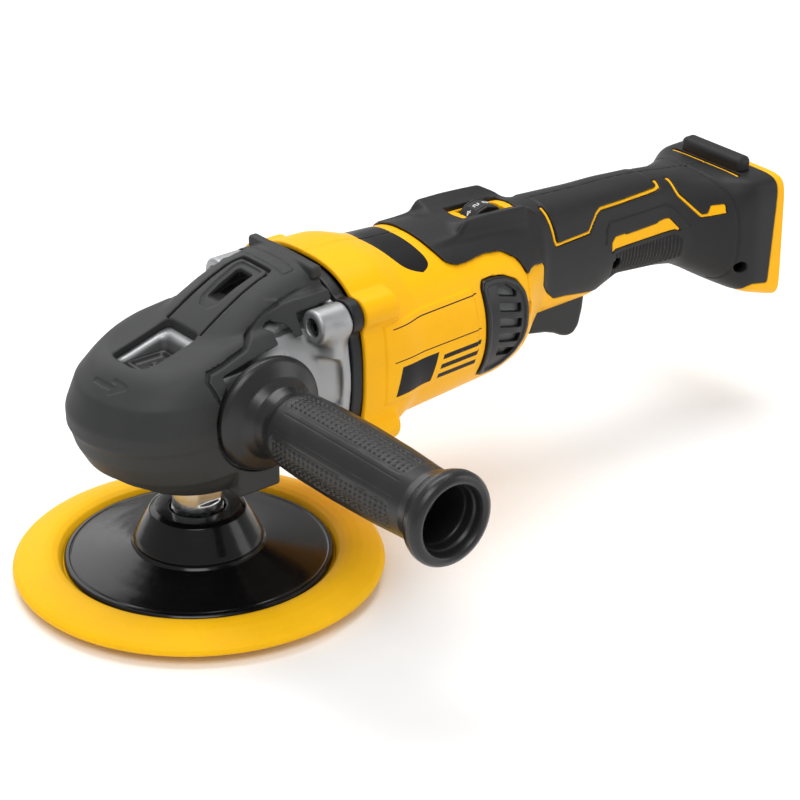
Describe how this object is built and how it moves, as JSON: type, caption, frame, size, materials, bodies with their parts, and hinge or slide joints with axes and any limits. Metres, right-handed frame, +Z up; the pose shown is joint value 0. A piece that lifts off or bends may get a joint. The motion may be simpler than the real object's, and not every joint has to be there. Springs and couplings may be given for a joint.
{
  "type": "rotary polisher",
  "caption": "Cordless rotary polisher: a foam-edged backing pad on a right-angle gear head with a side handle, a motor barrel, and an inline grip with a trigger and a battery foot.",
  "frame": {"origin": "centre of the pad's working face, on the spindle axis", "axes": "+Z up along the spindle away from the work, +X back along the motor towards the battery foot, the side handle points along -Y"},
  "size_m": [0.439, 0.2636, 0.1528],
  "materials": {
    "pad_face": "woven hook face",
    "pad_foam": "moulded yellow foam with a satin skin",
    "backing_plate": "glossy black moulding",
    "pad_insert_nut": "turned steel insert",
    "spindle": "ground and plated steel",
    "lower_spindle_bearing": "bearing steel",
    "upper_spindle_bearing": "bearing steel",
    "bevel_pinion": "hardened gear steel",
    "spindle_bevel_gear": "hardened gear steel",
    "layshaft_wheel": "hardened gear steel",
    "layshaft": "ground steel",
    "layshaft_front_bearing": "bearing steel",
    "layshaft_rear_bearing": "bearing steel",
    "gear_case": "bead-blasted die casting",
    "bearing_cover": "moulded cover",
    "cover_screw_60": "black oxide",
    "cover_screw_180": "black oxide",
    "cover_screw_300": "black oxide",
    "rubber_boot": "matte charcoal rubber",
    "lock_button": "grey moulded button",
    "lock_pin": "ground pin",
    "lock_spring": "spring wire",
    "bearing_plate": "glass-filled moulding",
    "case_screw_1": "black oxide socket screw",
    "case_screw_2": "black oxide socket screw",
    "case_screw_3": "black oxide socket screw",
    "case_screw_4": "black oxide socket screw",
    "side_handle": "semi-gloss black grip with dotted texture panels",
    "side_handle_stud": "threaded steel stud",
    "motor_shaft": "ground steel",
    "motor_pinion": "hardened gear steel",
    "motor_front_bearing": "bearing steel",
    "motor_rear_bearing": "bearing steel",
    "rotor_core": "laminated steel with magnets",
    "cooling_fan": "moulded fan",
    "stator_core": "laminated steel",
    "stator_windings": "enamelled copper",
    "hall_sensor_board": "circuit board",
    "motor_rear_bracket": "moulded bracket",
    "motor_controller": "potted electronics",
    "housing_left": "glossy-satin yellow shell",
    "housing_right": "glossy-satin yellow shell",
    "overmould_left": "soft black overmould",
    "overmould_right": "soft black overmould",
    "vent_frame_left": "black vent frame",
    "vent_frame_right": "black vent frame",
    "vent_mesh_left": "woven metal mesh",
    "vent_mesh_right": "woven metal mesh",
    "housing_screw_1": "black oxide",
    "housing_screw_2": "black oxide",
    "housing_screw_3": "black oxide",
    "trigger": "black moulded trigger",
    "trigger_pin": "ground pin",
    "trigger_spring": "spring wire",
    "trigger_switch": "switch body",
    "speed_dial": "black faceted thumbwheel",
    "dial_potentiometer": "potentiometer body and shaft",
    "battery_rails": "moulded rail plate",
    "battery_terminals": "terminal block",
    "foot_bumper": "black rubber bar"
  },
  "bodies": {
    "machine": {"lower_spindle_bearing": "lower_spindle_bearing", "upper_spindle_bearing": "upper_spindle_bearing", "layshaft_front_bearing": "layshaft_front_bearing", "layshaft_rear_bearing": "layshaft_rear_bearing", "gear_case": "gear_case", "bearing_cover": "bearing_cover", "cover_screw_60": "cover_screw_60", "cover_screw_180": "cover_screw_180", "cover_screw_300": "cover_screw_300", "rubber_boot": "rubber_boot", "lock_spring": "lock_spring", "bearing_plate": "bearing_plate", "case_screw_1": "case_screw_1", "case_screw_2": "case_screw_2", "case_screw_3": "case_screw_3", "case_screw_4": "case_screw_4", "side_handle": "side_handle", "side_handle_stud": "side_handle_stud", "motor_front_bearing": "motor_front_bearing", "motor_rear_bearing": "motor_rear_bearing", "stator_core": "stator_core", "stator_windings": "stator_windings", "hall_sensor_board": "hall_sensor_board", "motor_rear_bracket": "motor_rear_bracket", "motor_controller": "motor_controller", "housing_left": "housing_left", "housing_right": "housing_right", "overmould_left": "overmould_left", "overmould_right": "overmould_right", "vent_frame_left": "vent_frame_left", "vent_frame_right": "vent_frame_right", "vent_mesh_left": "vent_mesh_left", "vent_mesh_right": "vent_mesh_right", "housing_screw_1": "housing_screw_1", "housing_screw_2": "housing_screw_2", "housing_screw_3": "housing_screw_3", "trigger_pin": "trigger_pin", "trigger_spring": "trigger_spring", "trigger_switch": "trigger_switch", "dial_potentiometer": "dial_potentiometer", "battery_rails": "battery_rails", "battery_terminals": "battery_terminals", "foot_bumper": "foot_bumper"},
    "spindle_group": {"spindle": "spindle", "spindle_bevel_gear": "spindle_bevel_gear", "pad_insert_nut": "pad_insert_nut", "backing_plate": "backing_plate", "pad_foam": "pad_foam", "pad_face": "pad_face"},
    "layshaft_group": {"layshaft": "layshaft", "layshaft_wheel": "layshaft_wheel", "bevel_pinion": "bevel_pinion"},
    "rotor_group": {"motor_shaft": "motor_shaft", "motor_pinion": "motor_pinion", "rotor_core": "rotor_core", "cooling_fan": "cooling_fan"},
    "trigger_lever": {"trigger": "trigger"},
    "dial_wheel": {"speed_dial": "speed_dial"},
    "lock_plunger": {"lock_button": "lock_button", "lock_pin": "lock_pin"}
  },
  "joints": [
    {"name": "spindle_spin", "type": "hinge", "parent": "machine", "child": "spindle_group", "pos_m": [0, 0, 0.05], "axis": [0, 0, 1], "continuous": true},
    {"name": "layshaft_spin", "type": "hinge", "parent": "machine", "child": "layshaft_group", "pos_m": [0, 0, 0.08], "axis": [1, 0, 0], "continuous": true},
    {"name": "motor_spin", "type": "hinge", "parent": "machine", "child": "rotor_group", "pos_m": [0.1, 0, 0.1], "axis": [1, 0, 0], "continuous": true},
    {"name": "trigger_pull", "type": "hinge", "parent": "machine", "child": "trigger_lever", "pos_m": [0.201, 0, 0.088], "axis": [0, -1, 0], "range_deg": [0, 9], "stiffness_Nm_per_rad": 1.2, "springref_deg": -11.46, "deforming": ["trigger_spring"]},
    {"name": "dial_turn", "type": "hinge", "parent": "machine", "child": "dial_wheel", "pos_m": [0.174, 0, 0.1338], "axis": [0, 1, 0], "range_deg": [0, 270]},
    {"name": "lock_press", "type": "slide", "parent": "machine", "child": "lock_plunger", "axis": [0, 0, -1], "range_m": [0, 0.0035], "stiffness_N_per_m": 1200, "springref_m": -0.003, "deforming": ["lock_spring"]}
  ],
  "couplings": [
    {"joint": "layshaft_spin", "follows": "spindle_spin", "ratio": -3.125},
    {"joint": "motor_spin", "follows": "spindle_spin", "ratio": 9.375}
  ]
}
